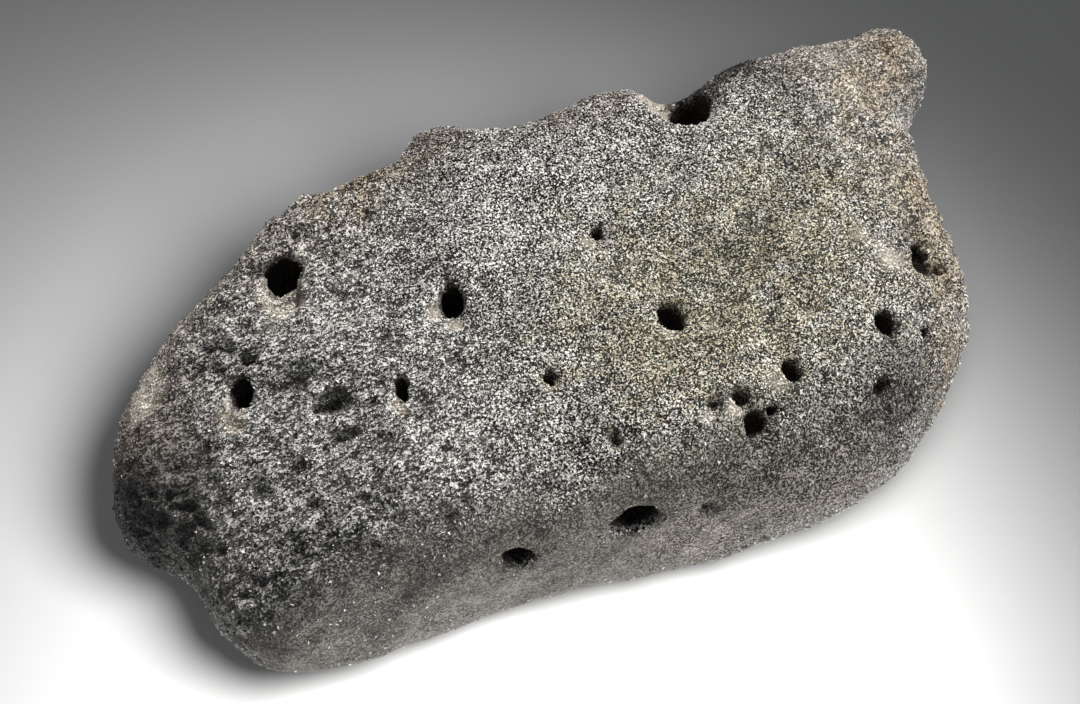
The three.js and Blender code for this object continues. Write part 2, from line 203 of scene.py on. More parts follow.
def side_reach(angle, share):
    """The distance from the middle to the side, at a share of the height from 0 to 1."""
    end = np.where(share < 0.5, on_outline(FOOT, angle), on_outline(TOP, angle))
    waist = on_outline(WAIST, angle)
    return waist + (end - waist) * (2 * share - 1) ** 2


def beside_horn(x, y):
    """The distance to the horn, which tapers along a straight line to its blunt tip."""
    from_x, from_y = HORN["from"]
    along_x, along_y = HORN["to"][0] - from_x, HORN["to"][1] - from_y
    t = ((x - from_x) * along_x + (y - from_y) * along_y) / (along_x**2 + along_y**2)
    t = np.clip(t, 0, 1)
    radius = HORN["from_radius"] + (HORN["to_radius"] - HORN["from_radius"]) * t
    return np.hypot(x - from_x - t * along_x, y - from_y - t * along_y) - radius


def rounded_corner(a, b, radius):
    """The larger of two depths, with the corner between them rounded."""
    over = np.hypot(np.maximum(a + radius, 0), np.maximum(b + radius, 0))
    return np.minimum(-radius, np.maximum(a, b)) + over


def eased_union(a, b, ease):
    """The smaller of two distances, with the corner between them filled a little."""
    near = np.maximum(ease - np.abs(a - b), 0) / ease
    return np.minimum(a, b) - near**2 * ease / 4


def outside_by(x, y, z):
    """How far points are outside the skin, in mm, before the pits and the flat are cut."""
    dx, dy = x - MIDDLE[0], y - MIDDLE[1]
    angle = np.arctan2(dy, dx)
    share = np.clip(z / TOP_HEIGHT, 0, 1)
    reach = side_reach(angle, share)
    turning = (side_reach(angle + LOOK_AHEAD, share) - reach) / (LOOK_AHEAD * reach)
    beside_slab = (np.hypot(dx, dy) - reach) / np.hypot(1, turning)
    side = eased_union(beside_slab, beside_horn(x, y), HORN["ease"])
    fall = LEFT_FALL["slope"] * past_start(LEFT_FALL["start"] - x, LEFT_FALL["ease"])
    above = z - (TOP_HEIGHT + TOP_RISE * y - fall)
    dome = UNDERSIDE["depth"] + UNDERSIDE["rise"] * x**2 + UNDERSIDE["rise_across"] * y**2
    lifted = HORN_LIFT["slope"] * past_start(x - HORN_LIFT["start"], HORN_LIFT["ease"])
    below = dome + lifted - z
    upper = rounded_corner(side, above, on_outline(SHOULDER, angle))
    return rounded_corner(upper, below, FOOT_ROUND) - lift(x, y, z)


waist_length = float(side_reach(0, 0.5) + side_reach(math.pi, 0.5))
print("slab through its middle at the waist, mm:", round(waist_length, 1))

# %% [markdown]
# ## Swells and low waves
#
# Between the outline and the grain lie forms of a few millimetres to a centimetre: the knob and
# the bulge on the back edge, the pocket under the left tip, and the lazy unevenness of every
# face. Each swell is a soft bell with a place, a reach and a height. A handful of waves that
# cross at odd angles do the rest, and never repeat in a way that the eye catches.

# %% Lift the skin in swells and waves
SWELLS = {  # place, reach and rise
    "knob on the back edge": ((-7.4, 25.4, 25.5), 3.4, 1.8),
    "bulge beside the notch": ((10.8, 22.6, 26), 6, 0.6),
    "dip between them": ((0.9, 24.6, 27), 3, -0.6),
    "pocket under the left tip": ((-47.6, 1.6, 9), 4.5, -0.6),
    "left tip": ((-47.6, 9.6, 19), 6, 0.7),
    "low bump on the back rim": ((-26.6, 22.4, 27), 3, 0.6),
    "slanted face below the horn": ((41.4, -3.4, 27), 8, -1.2),
}
WAVES = [  # direction, length, rise and start
    ((1, 0.4, 0.5), 19, 0.22, 5.5),
    ((-0.5, 1, 0.6), 14, 0.2, 1.9),
    ((0.3, -0.6, 1), 11.5, 0.2, 4.1),
    ((0.8, 0.9, -0.8), 9, 0.15, 0.6),
    ((-0.9, 0.5, 0.9), 7, 0.12, 0.4),
]


def lift(x, y, z):
    """How far swells and waves raise the skin at points, in mm."""
    total = 0 * (x + y + z)
    for (at_x, at_y, at_z), reach, rise in SWELLS.values():
        distance = (x - at_x) ** 2 + (y - at_y) ** 2 + (z - at_z) ** 2
        total = total + rise * np.exp(-distance / reach**2)
    for along, length, rise, start in WAVES:
        along = np.array(along) / np.linalg.norm(along)
        travelled = x * along[0] + y * along[1] + z * along[2]
        total = total + rise * np.sin(2 * math.pi * travelled / length + start)
    return total


PROBE = 0.1


def straight_out(point):
    """The direction straight out of the skin at one point."""
    slope = []
    for axis in range(3):
        ahead, behind = np.array(point, float), np.array(point, float)
        ahead[axis] += PROBE
        behind[axis] -= PROBE
        slope.append(float(outside_by(*ahead) - outside_by(*behind)))
    return Vector(slope).normalized()


rock_around = -float(outside_by(*MIDDLE, TOP_HEIGHT / 2))
print("rock around the middle of the stone, mm:", round(rock_around, 1))

# %% [markdown]
# ## Gas pits
#
# The pits are bubbles that the melt froze round, opened later by wear, so each is a small cave
# that is widest a little below its mouth. A painted dark spot would fall flat as soon as the
# light or the eye moved, so every pit is really hollow: an egg, sunk under the skin and cut out.
# A few shallow, wide saucers beside the deep ones are their worn lips. The lists hold what one
# would measure with a ruler on each pit. The notch is two larger hollows of the same kind.

# %% List the pits
UPPER_PITS = [  # middle of the mouth in plan, width, length, bearing of the length, depth
    (-27.2, 15.6, 3.7, 3.9, 40, 5),
    (-28.2, 13.2, 4.4, 3.6, 20, 1.4),
    (-13.9, 4.3, 2.4, 3.6, 66, 4.5),
    (-15.0, 2.9, 3.2, 3.0, 66, 0.9),
    (4.6, -6.5, 2.5, 4.0, 92, 3.6),
    (-35.7, 5.7, 2.4, 4.0, 60, 3.4),
    (-33.7, 8.3, 1.3, 1.8, -10, 1.4),
    (-22.1, -2.1, 1.7, 2.9, 72, 2.6),
    (2.8, 5.3, 1.2, 1.5, 40, 1.5),
    (-9.2, -7.6, 1.5, 2.0, 98, 2.0),
    (-6.7, -15.8, 1.4, 2.2, 60, 1.3),
    (12.1, -16.6, 1.8, 2.6, 92, 2.2),
    (6.2, -17.3, 1.9, 2.2, 85, 1.6),
    (6.4, -19.6, 2.5, 2.7, 40, 2),
    (8.4, -19.1, 1.3, 1.4, 0, 1.8),
    (3.3, -16.9, 1.6, 1.8, 110, 1.2),
    (23.6, -16.0, 2.0, 3.1, 88, 2.6),
    (32.3, -10.8, 3.0, 4.2, 75, 2.4),
    (20.0, -21.2, 1.8, 2.4, 60, 1.5),
    (27.9, -17.9, 1.3, 1.6, 75, 1.1),
    (-17.2, 17.0, 1.9, 2.1, 30, 1.1),
    (-28.6, 0.4, 2.4, 3.6, 0, 1.4),
    (-21.1, -9.9, 1.5, 1.7, 0, 1.1),
    (-31.0, 4.1, 2.2, 2.4, 60, 1.0),
    (-29.0, -3.4, 1.7, 4.0, -10, 0.9),
    (-41.3, 3.0, 1.5, 2.6, -15, 0.9),
    (34.0, -12.0, 1.4, 2.2, -40, 1.3),
]
SIDE_PITS = [  # bearing and height of the mouth, width, height, depth
    (-96, 19.5, 5.4, 3.0, 3.4),
    (-121, 19, 3.8, 2.0, 2),
    (-81, 19, 1.8, 1.3, 1),
    (-153, 9, 2.4, 2.6, 1),
    (58, 15, 3.2, 2.6, 2.4),
    (112, 10, 2.2, 2.4, 1.8),
    (150, 14, 2.8, 2.2, 2),
]
UNDER_PITS = [  # as in the upper face
    (-20.6, 10.6, 3.2, 3.8, 20, 2.8),
    (17.4, -7.4, 2.4, 3.0, 80, 2.2),
    (23.4, 7.6, 2.0, 2.2, 0, 1.6),
    (-29.6, -4.4, 2.2, 2.6, 130, 1.8),
]
NOTCH = [  # middle and size of its two hollows
    ((18.6, 19.0, 33.0), (8.4, 14.6, 12.4)),
    ((19.9, 15.5, 27.6), (4.4, 5.0, 9.0)),
]
print("pits listed:", len(UPPER_PITS) + len(SIDE_PITS) + len(UNDER_PITS))

# %% [markdown]
# ## Where each egg goes
#
# A pit is listed by where its mouth is in plan, or on a side, so the height has to be found. A
# line is sent from inside the stone, and the stretch in which it leaves the stone is halved until
# it is short. An egg is then laid under that point, with its length along the pit's bearing and
# its third direction straight out of the skin, so that a pit in a slanting side opens squarely.

# %% Place an egg for each pit
FAR_OUTSIDE = 80.0
HALVINGS = 30
EGG_WIDTH = 0.96  # of the listed width and length
EGG_HEIGHT = 1.5  # of the listed depth
SUNK = 0.25  # of the listed depth


def meet_skin(start, direction):
    """Where a straight line from inside the stone meets its skin."""
    near, far = 0.0, FAR_OUTSIDE
    for _ in range(HALVINGS):
        middle = (near + far) / 2
        if outside_by(*(start + middle * direction)) < 0:
            near = middle
        else:
            far = middle
    return start + near * direction


def skin_at(x, y, way=1.0):
    """The skin straight above a place in plan, or straight below it with a way of -1."""
    return meet_skin(np.array([x, y, TOP_HEIGHT / 2]), np.array([0, 0, way]))


def egg(mouth, width, length, bearing, depth):
    """An egg under a mouth: its middle, half sizes and three directions as rows."""
    out = straight_out(mouth)
    turn = Vector((0, 0, 1)).rotation_difference(out)
    bearing = math.radians(bearing)
    along = turn @ Vector((math.cos(bearing), math.sin(bearing), 0))
    half = np.array([EGG_WIDTH * length, EGG_WIDTH * width, EGG_HEIGHT * depth]) / 2
    middle = mouth - np.array(out) * SUNK * depth
    return middle, half, np.array([along, out.cross(along), out])


eggs = []
for x, y, width, length, bearing, depth in UPPER_PITS:
    eggs.append(egg(skin_at(x, y), width, length, bearing, depth))
for bearing, height, width, tall, depth in SIDE_PITS:
    direction = np.array([math.cos(math.radians(bearing)), math.sin(math.radians(bearing)), 0])
    mouth = meet_skin(np.array([*MIDDLE, height]), direction)
    eggs.append(egg(mouth, tall, width, bearing + 90, depth))
for x, y, width, length, bearing, depth in UNDER_PITS:
    mouth = skin_at(x, y, way=-1.0)
    mouth[2] = max(mouth[2], 0)
    eggs.append(egg(mouth, width, length, bearing, depth))
for middle, size in NOTCH:
    eggs.append((np.array(middle), np.array(size) / 2, np.eye(3)))
print("eggs for pits and notch:", len(eggs))

# %% [markdown]
# ## Noise for rock
#
# Rock is rough at every size at once, so one kind of noise serves for pit walls, ridges, grit and
# the edges of stains. It is worked out at the points themselves: space is divided in a lattice,
# each lattice corner holds a random slope, and the slopes blend smoothly in between. Blender's
# own noise would do too, but it answers one point at a time, and this answers them all at once.

# %% Make seeded noise
SEED = 11
SLOPES = np.random.default_rng(SEED).normal(size=(512, 3))
SLOPES /= np.linalg.norm(SLOPES, axis=1)[:, None]
LATTICE = np.array([73856093, 19349663, 83492791])  # large primes, so that no row repeats soon
START_PRIME = 2654435761
START_SHIFT = 17.3
NOISE_GAIN = 1.6  # brings the noise to about -1 to 1


def noise(points, size, start=0):
    """Smooth noise at points, with lumps about as wide as size; each start gives another noise."""
    scaled = points / size + START_SHIFT * start
    corner = np.floor(scaled).astype(np.int64)
    within = scaled - corner
    fade = within**3 * (within * (within * 6 - 15) + 10)
    total = np.zeros(len(points))
    for step in itertools.product((0, 1), repeat=3):
        code = (corner + step) * LATTICE
        pick = (code[:, 0] ^ code[:, 1] ^ code[:, 2] ^ (start * START_PRIME)) % len(SLOPES)
        reach = np.einsum("ij,ij->i", within - step, SLOPES[pick])
        total += reach * np.prod(np.where(step, fade, 1 - fade), axis=1)
    return total * NOISE_GAIN


sample = noise(np.random.default_rng(SEED).uniform(0, 50, (2000, 3)), 2.0)
print("noise from", round(sample.min(), 2), "to", round(sample.max(), 2))

# %% [markdown]
# ## One fine skin
#
# The question of how far outside a point is can now be asked on a fine grid over the whole stone.
# The eggs are cut out of the answers, each near its own place only, and the stone is stood on a
# flat at height zero. An egg's wall is made uneven by noise, because no bubble in coarse rock has
# a clean wall, and its mouth is worn a little. Boolean modifiers could cut the eggs out of a
# mesh, but forty of them would be slow, and each would leave a sharp rim.

# %% Ask over a fine grid
STEP = 0.42
GRID_LOW = np.array([-53.6, -29.6, -1.3])
GRID_HIGH = np.array([53.6, 29.6, 33.6])
MOUTH_WEAR = 0.35
LARGEST_LUMP = 1.8  # half the width beyond which a pit's wall gets no coarser lumps
WALL_LUMPS = 0.26  # how high they are, for their size
WALL_GRIT = 0.12
WALL_GRIT_SIZE = 0.9
EGG_CLEARANCE = 1.5  # how far round an egg the grid is changed, in half sizes

counts = np.ceil((GRID_HIGH - GRID_LOW) / STEP).astype(int)
axes = [GRID_LOW[axis] + STEP * np.arange(counts[axis]) for axis in range(3)]
grid_x, grid_y, grid_z = np.meshgrid(*axes, indexing="ij", sparse=True)
depth = outside_by(grid_x, grid_y, grid_z)


def cut_egg(depth, middle, half, rows, start):
    """Cuts one uneven egg out of the stone, near the egg only, and wears its mouth."""
    reach = EGG_CLEARANCE * half.max()
    spans = [np.flatnonzero(np.abs(axes[axis] - middle[axis]) < reach) for axis in range(3)]
    near = np.ix_(*spans)
    grids = np.meshgrid(*[axes[axis][spans[axis]] for axis in range(3)], indexing="ij")
    places = np.stack(grids, axis=-1).reshape(-1, 3)
    turned = (places - middle) @ rows.T / half
    size = np.linalg.norm(turned, axis=1) + 1e-9
    away = size * (size - 1) / np.linalg.norm(turned / half, axis=1)
    lump = min(half.min(), LARGEST_LUMP)
    uneven = WALL_LUMPS * lump * noise(places, 0.9 * lump, start)
    uneven += WALL_GRIT * noise(places, WALL_GRIT_SIZE, start + 1)
    hollow = -(away + uneven).reshape([len(span) for span in spans])
    stone = depth[near]
    close = np.maximum(MOUTH_WEAR - np.abs(stone - hollow), 0)
    depth[near] = np.maximum(stone, hollow) + close**2 / (4 * MOUTH_WEAR)


for start, (middle, half, rows) in enumerate(eggs):
    cut_egg(depth, middle, half, rows, start)
depth = np.maximum(depth, -grid_z)
print("grid points:", depth.size, "inside:", int((depth < 0).sum()))

# %% [markdown]
# ## From the grid to a mesh
#
# Surface nets turn the grid into a mesh: every small cube that the skin passes through gets one
# point, at the mean of the places where the skin crosses its edges, and the four cubes round each
# crossed edge give one four-sided face. That keeps caves and overhangs, which a surface made by
# pushing a plate or a ball about can't have, and it gives even faces all over, where a remeshed
# solid would keep the marks of its facets.

# %% Turn the grid into points and faces


def net_points(depth):
    """A point in each cube that the skin crosses, and the number of the point in each cube."""
    inside = depth < 0
    size = np.array(depth.shape) - 1
    corners = list(itertools.product((0, 1), repeat=3))
    filled = np.zeros(size, int)
    for a, b, c in corners:
        filled += inside[a : a + size[0], b : b + size[1], c : c + size[2]]
    cubes = np.argwhere((filled > 0) & (filled < len(corners)))
    total, crossings = np.zeros((len(cubes), 3)), np.zeros(len(cubes))
    for axis in range(3):
        along = np.eye(3, dtype=int)[axis]
        for corner in corners:
            if corner[axis]:
                continue
            first = depth[tuple((cubes + corner).T)]
            last = depth[tuple((cubes + corner + along).T)]
            crossed = (first < 0) != (last < 0)
            share = np.where(crossed, first / np.where(crossed, first - last, 1), 0)
            total += (np.array(corner) + share[:, None] * along) * crossed[:, None]
            crossings += crossed
    number = np.full(size, -1)
    number[tuple(cubes.T)] = np.arange(len(cubes))
    return cubes + total / crossings[:, None], number


def net_faces(depth, number):
    """A four-sided face round each grid edge that the skin crosses, facing out."""
    inside = depth < 0
    faces = []
    for axis in range(3):
        along = np.eye(3, dtype=int)[axis]
        u, v = np.eye(3, dtype=int)[(axis + 1) % 3], np.eye(3, dtype=int)[(axis + 2) % 3]
        starts = np.argwhere(np.diff(inside, axis=axis))
        ring = [starts, starts - u, starts - u - v, starts - v]
        face = np.stack([number[tuple(cubes.T)] for cubes in ring], axis=1)
        outwards = inside[tuple(starts.T)]
        faces.append(np.where(outwards[:, None], face, face[:, ::-1]))
    return np.concatenate(faces)


points, number = net_points(depth)
points = GRID_LOW + points * STEP
faces = net_faces(depth, number)
print("points:", len(points), "triangles:", 2 * len(faces))

# %% [markdown]
# ## Evening the net out
#
# The net still shows faint steps of the grid, because its points sit in rows. Moving each point a
# few times halfway to the middle of its neighbours takes the steps out and leaves the form. A
# smoothing modifier would do the same, but the arrays are already here, and the pits' rims keep
# more of their edge with only three rounds.

# %% Even the net out
EVENING_ROUNDS = 3
sides = [faces[:, [corner, (corner + 1) % 4]] for corner in range(4)]
pairs = np.unique(np.sort(np.concatenate(sides), axis=1), axis=0)
ends = np.concatenate([pairs, pairs[:, ::-1]])
neighbours = np.bincount(ends[:, 0], minlength=len(points))


def evened(values):
    """Each point's value, moved halfway towards the mean of its neighbours."""
    mean = [np.bincount(ends[:, 0], values[ends[:, 1], axis], len(values)) for axis in range(3)]
    return (values + np.stack(mean, axis=1) / neighbours[:, None]) / 2


for _ in range(EVENING_ROUNDS):
    points = evened(points)
points[:, 2] = np.maximum(points[:, 2], 0)
stone_mesh = bpy.data.meshes.new("meteorite_skin")


def fill_mesh():
    """Writes the points and faces to the mesh, in metres."""
    stone_mesh.clear_geometry()
    stone_mesh.from_pydata((points * MM).tolist(), [], faces.tolist())
    stone_mesh.update()


def outward():
    """The mesh's direction straight out at each point."""
    directions = np.empty(3 * len(points), np.float32)
    stone_mesh.vertex_normals.foreach_get("vector", directions)
    return directions.reshape(-1, 3).astype(float)


fill_mesh()
normals = outward()
under_skin = -outside_by(*points.T)
print("deepest point under the skin, mm:", round(under_skin.max(), 1))

# %% [markdown]
# ## Relief that can be felt
#
# A fingertip tells the parts of this stone apart. The left third and the right end are harsh,
# with little ridges that run along the stone; the upper face between them is even and gritty; the
# front side, the horn and the left rim are worn smooth. So the stone is first weighed by region:
# each region is a number from 0 to 1 at every point, from where the point is and which way it
# faces, with a soft change between regions as on any worn thing. The ramps below run over places
# in millimetres, or over parts of a direction, which go from -1 to 1.

# %% Weigh the regions


def ramp(values, start, end):
    """A smooth change from 0 at start to 1 at end."""
    share = np.clip((values - start) / (end - start), 0, 1)
    return share * share * (3 - 2 * share)


x, y, z = points.T
sideways = ramp(-normals[:, 2], -0.8, -0.3)
front = ramp(-normals[:, 1], 0.3, 0.8) * ramp(-y, 8, 16) * (1 - 0.8 * ramp(x, -8, 26))
upward = ramp(normals[:, 2] - 0.4 * ramp(y, 0, 7), -0.6, 0.2)
left_tip = 0.6 * ramp(-x, 37, 45)
left_rim = ramp(0.6 * normals[:, 1] - 0.8 * normals[:, 0], 0.3, 0.75) * ramp(-x, 20, 28)
horn_end = 0.55 * ramp(x, 30, 38) * ramp(y, 4, 9)
harsh = np.maximum(ramp(-x, 6, 27), 0.8 * ramp(x, 27, 35)) * upward * (1 - 0.85 * front)
harsh *= 1 - 0.7 * left_rim
rubbed = np.maximum.reduce([0.4 * sideways, 0.95 * front, horn_end])
worn = np.maximum.reduce([rubbed, left_tip, 0.7 * left_rim])
# How deep a point lies in a pit; the finish paints shade with it, and keeps grit and glints out.
in_pit = ramp(under_skin, 0.5, 1.6) * (z > 0.3)
off_floor = ramp(z, 0.0, 1.6)
print("harsh share:", round(float(harsh.mean()), 2), "worn share:", round(float(worn.mean()), 2))

# %% [markdown]
# ## Ridges, lumps and grit
#
# Relief of this size, from half a millimetre up, is moved in the mesh itself, so that it shows in
# the outline and casts shadows. Only the grain below that is left to the material. It is a sum of
# noises, from broad lumps down to grit. The ridges come from noise that is stretched along the
# stone, and the creases from folding such a noise at zero, which leaves sharp valleys.

# %% Raise ridges, lumps and grit
ALONG = np.array([0.45, 1, 1])  # stretches a noise along the stone
FOLDED_MEAN = 0.28
RUBBED_OFF = 0.5
RELIEF = {  # height in mm, added height where harsh, width of a lump, number of the noise
    "broad lumps": (0.22, 0, 5.5, 1),
    "lumps": (0.16, 0, 2.8, 2),
    "ridges": (0.04, 0.42, 1.0, 3),
    "creases": (0, 1.0, 2.1, 6),
    "grit": (0.08, 0.14, 0.9, 4),
    "fine grit": (0.05, 0, 0.55, 5),
}

relief = np.zeros(len(points))
for form, (rise, harsh_rise, width, start) in RELIEF.items():
    layer = noise(points * ALONG if form in ("ridges", "creases") else points, width, start)
    if form == "creases":
        layer = np.abs(layer) - FOLDED_MEAN
    relief += (rise + harsh_rise * harsh) * layer
relief *= 1 - RUBBED_OFF * rubbed
print("relief before the dents, mm:", round(relief.min(), 2), "to", round(relief.max(), 2))

# %% [markdown]
# ## Dents
#
# Wear has also plucked single grains out, which leaves hundreds of small round dents. Each dent
# needs the points near its middle, and asking every point for its distance nine hundred times
# would be slow. A KD tree sorts the points in space once and then names the near ones at once.

# %% Press small dents in
DENTS = 900
DENT_WIDTHS = (0.45, 1.3)
DENT_DEPTHS = (0.08, 0.26)  # for the dent's width
DENT_REACH = 1.6
DENT_EDGE = 1.6

chance = np.random.default_rng(SEED + 1)
finder = KDTree(len(points))
for i, point in enumerate(points):
    finder.insert(point, i)
finder.balance()
for i in chance.choice(len(points), DENTS, replace=False):
    width = chance.uniform(*DENT_WIDTHS)
    sunk = chance.uniform(*DENT_DEPTHS) * width
    for _, other, distance in finder.find_range(Vector(points[i]), DENT_REACH * width):
        relief[other] -= sunk * math.exp(-((distance / width) ** 2) * DENT_EDGE)
print("relief with the dents, mm:", round(relief.min(), 2), "to", round(relief.max(), 2))

# %% [markdown]
# ## The finished skin
#
# Each point now moves straight out of the skin, or into it, by its relief. Close to the floor the
# relief fades out, so that the stone still stands on its flat. The mesh then takes the packed
# solid's place as one object, because the real thing is one piece. It is shaded smooth, since the
# small forms are really there in its points and facets would only show the grid.

# %% Move the skin and make the stone
points = points + normals * (relief * off_floor)[:, None]
points[:, 2] = np.maximum(points[:, 2], 0)
fill_mesh()
stone_mesh.shade_smooth()
meteorite = bpy.data.objects.new("meteorite_stone", stone_mesh)
bpy.context.scene.collection.objects.link(meteorite)
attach(meteorite, "root")
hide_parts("meteorite")
print("skin made:", len(points), "points,", 2 * len(faces), "triangles")

# %% [markdown]
# ## Stains
#
# The rock is grey, but air and water have stained it: tan at the horn and the right end, dusty
# along the left rim and on the front side, brown on the back rim, an olive cast over the middle,
# and soot on the left tip and along the front shoulder, where it is also painted shade. The black
# at the edge of the notch is painted shadow, and the dark spots are dark stains and painted shade
# in the pits. Cream rock shows where a pit's lip has weathered, and there and on the horn, the
# left rim and the notch's lit wall the pale spots are also painted highlight. Each stain is a
# soft spot at a place on the stone.
# It could be painted by hand with a brush, but a list of places can be read, changed and repeated.

# %% List the stains
STAINS = {  # colour, strength, reach and places, in mm
    "tan": ((0.46, 0.35, 0.23), 0.75, 5.5, [
        (44, 13, 29), (38, 10, 29), (37.8, -2.3, 24.5), (34.5, -12, 23.9), (36, -8, 18),
        (29.5, -19.4, 19), (-17.5, 21.4, 28.9),
    ]),
    "dusty": ((0.52, 0.455, 0.40), 0.85, 5, [
        (-42.8, 14.2, 21.3), (-44.5, 9.5, 23), (-29.6, 18.7, 26.7), (-36, 18, 24), (-47, 12, 17),
        (-39.5, 16.5, 21), (-23.8, 20.5, 29),
        (4.5, -25, 18), (10, -26, 16), (0, -24.5, 15), (15, -26.5, 15), (13, -26, 19.5),
    ]),
    "brown": ((0.20, 0.135, 0.085), 0.7, 4.5, [
        (37.5, -5.5, 24), (40, 0, 22), (-8.2, 23.5, 30), (-4, 23.5, 28), (5.7, 21.5, 30),
        (12.6, 20.5, 30.5), (-12.5, 22, 29), (-45.5, 8.1, 21.7), (24, 18.4, 29), (31, 17, 28.5),
        (8.5, 23, 28), (47, 16, 24),
    ]),
    "olive": ((0.43, 0.40, 0.25), 0.42, 11.5, [
        (10.5, -11.4, 27), (18.6, -11.4, 27), (9, -2.5, 27), (-1, -2, 28), (22, 2, 28),
        (27, -2, 27.5), (0, -10, 27),
    ]),
    # Soot and painted shade: the left tip and the front shoulder are dark partly from how the light
    # falls.
    "soot and painted shade": ((0.04, 0.039, 0.037), 0.95, 4.8, [
        (-48.6, 2.4, 19.8), (-46.5, -1, 20.5), (-43.6, 0.4, 22.7), (-49.5, -1, 15),
        (-47.5, 4.5, 21.5), (-36, -12.5, 21.5), (9.3, -23.2, 22.1), (15.6, -24.2, 21.6),
        (20.5, -22.8, 22.4), (3, -22.5, 22), (24.5, -20.5, 22.5),
    ]),
    # Painted shadow on the notch's shaded right wall and the back edge beside it.
    "painted shadow at the notch": ((0.012, 0.011, 0.010), 1.8, 1.7, [
        (21.6, 17.2, 28.4), (22.6, 17, 29.6), (23.6, 18.2, 29.2), (25.2, 18.6, 29.2),
        (26.8, 18.8, 28.8), (28.4, 18.8, 28.6), (19.6, 18.9, 27), (21, 18.9, 27.4),
    ]),
    # Dark spots, most of them at pits, are partly painted shade.
    "dark spots and painted pit shade": ((0.05, 0.047, 0.045), 0.6, 1.7, [
        (18.2, -0.4, 28.2), (-30.9, 4.3, 25.5), (31.3, -7.9, 26.2), (-43.4, 8.4, 22.7),
        (-36.5, 10.7, 25.1), (3.6, -17.8, 26), (20.1, -22.3, 22.7), (-31.9, -13.5, 22.4),
        (-35.3, -1.4, 23.5), (-38.2, -13.2, 19.7), (-14.8, -20.5, 17.4), (33, -9, 26),
        (29.8, -8.6, 26.6),
    ]),
}
# Spots of cream rock that are also painted highlight: on lips, the horn, the left rim and the notch's
# lit left wall.
PALE_AND_LIT_SPOTS = [  # place, strength and reach
    ((28.2, -10.2, 26.5), 0.8, 1.7), ((28.4, -8.6, 26.6), 0.7, 1.3), ((27, -6.2, 27), 0.6, 1.2),
    ((1.2, 4.7, 28.4), 0.65, 0.9), ((4.9, -17.7, 25.9), 0.7, 1.2), ((1.9, -17.5, 26.2), 0.6, 1.1),
    ((10.1, -16.9, 25.8), 0.5, 1.9), ((-36.6, 5.2, 24.3), 0.9, 1.1), ((-36.2, 3.7, 24.1), 0.7, 0.9),
    ((37.1, 10.2, 28.8), 0.36, 2.8), ((-43.6, 12.6, 22.2), 1.1, 2.4), ((-44.9, 10.3, 21.8), 0.9, 2.0),
    ((15.6, 16.8, 28.6), 1.5, 1.3), ((16.4, 18.6, 27.6), 1.5, 1.4), ((17.6, 20, 27), 1.5, 1.5),
    ((16.8, 15.4, 28.5), 1.5, 1.2), ((17.7, 17.4, 27.4), 1.4, 1.2), ((19.2, 18.6, 26), 0.45, 1.5),
    ((7.4, -9.6, 27.4), 0.35, 1.4), ((7.4, -19.5, 24.8), 0.8, 0.6),
]
# Cream spots beside pits, also painted highlight.
PALE_AND_LIT_LIP_SPOTS = [  # place in plan, strength and reach
    ((-28.6, 12.4), 1.5, 1.7), ((-29.9, 10.8), 0.8, 1.5), ((-15.9, 3.8), 1.2, 1.0),
    ((-15.0, 1.9), 1.1, 1.0), ((-37.7, 4.7), 1.2, 1.0), ((-37.1, 3.0), 1.0, 1.2),
    ((-23.0, -3.9), 0.9, 0.8),
]
# Lips of listed upper pits, cream and also painted highlight.
LIT_PIT_LIPS = {0: 1.2, 2: 1.1, 4: 0.45, 5: 0.9, 7: 0.7, 9: 0.45, 16: 0.35}  # upper pit and strength
print("stains:", sum(len(places) for _, _, _, places in STAINS.values()))

# %% [markdown]
# ## Laying the stains on the points
#
# A stain is strongest at its place and fades away from it as a bell does. Noise breaks its edge,
# because a clean round edge would look like a drop of paint. Where stains overlap, their colours
# are averaged by weight, and what stays bare of all of them is kept as a number too.

# %% Lay the stains
MOST_STAIN = 0.96
LIP_SIDE = np.array([-0.6, -0.8])  # pale lips lie to the front left of their pits
LIP_NEARNESS = 3.4  # width and length of the mouth together are divided by it
LIP_REACH = 0.55  # for the width of the mouth

stain_colour = np.zeros((len(points), 3))
stain_weight = np.zeros(len(points))
bare = np.ones(len(points))
pale_and_lit = np.zeros(len(points))
broken = 0.75 + 0.5 * noise(points, 2.4, 8) + 0.35 * noise(points, 0.9, 9)


def nearness(spot, reach):
    """A bell from 1 at a spot down to 0 well away from it, at every point."""
    return np.exp(-(((points - spot) ** 2).sum(axis=1)) / reach**2)


def lay_stain(colour, strength, reach, spot):
    """Adds one soft spot of colour to the stains at every point."""
    weight = np.clip(strength * nearness(spot, reach) * broken, 0, MOST_STAIN)
    stain_colour[:] += weight[:, None] * colour
    stain_weight[:] += weight
    bare[:] *= 1 - weight


def pale_and_lit_spot(spot, strength, reach):
    """Bares one soft spot of cream rock that is also painted highlight, with a broken edge."""
    bared = strength * nearness(spot, reach) * (0.6 + 0.5 * broken)
    pale_and_lit[:] = np.maximum(pale_and_lit, np.minimum(bared, 1))


for colour, strength, reach, spots in STAINS.values():
    for spot in spots:
        lay_stain(np.array(colour), strength, reach, np.array(spot))
for pit, strength in LIT_PIT_LIPS.items():
    x, y, width, length = UPPER_PITS[pit][:4]
    mouth = skin_at(x, y)
    mouth[:2] += LIP_SIDE * (width + length) / LIP_NEARNESS
    pale_and_lit_spot(mouth, strength, LIP_REACH * width)
for spot, strength, reach in PALE_AND_LIT_SPOTS:
    pale_and_lit_spot(spot, strength, reach)
for (x, y), strength, reach in PALE_AND_LIT_LIP_SPOTS:
    pale_and_lit_spot(skin_at(x, y), strength, reach)
stain_colour /= np.maximum(stain_weight, 1e-6)[:, None]
print("stained share:", round(float((bare < 0.7).mean()), 2))

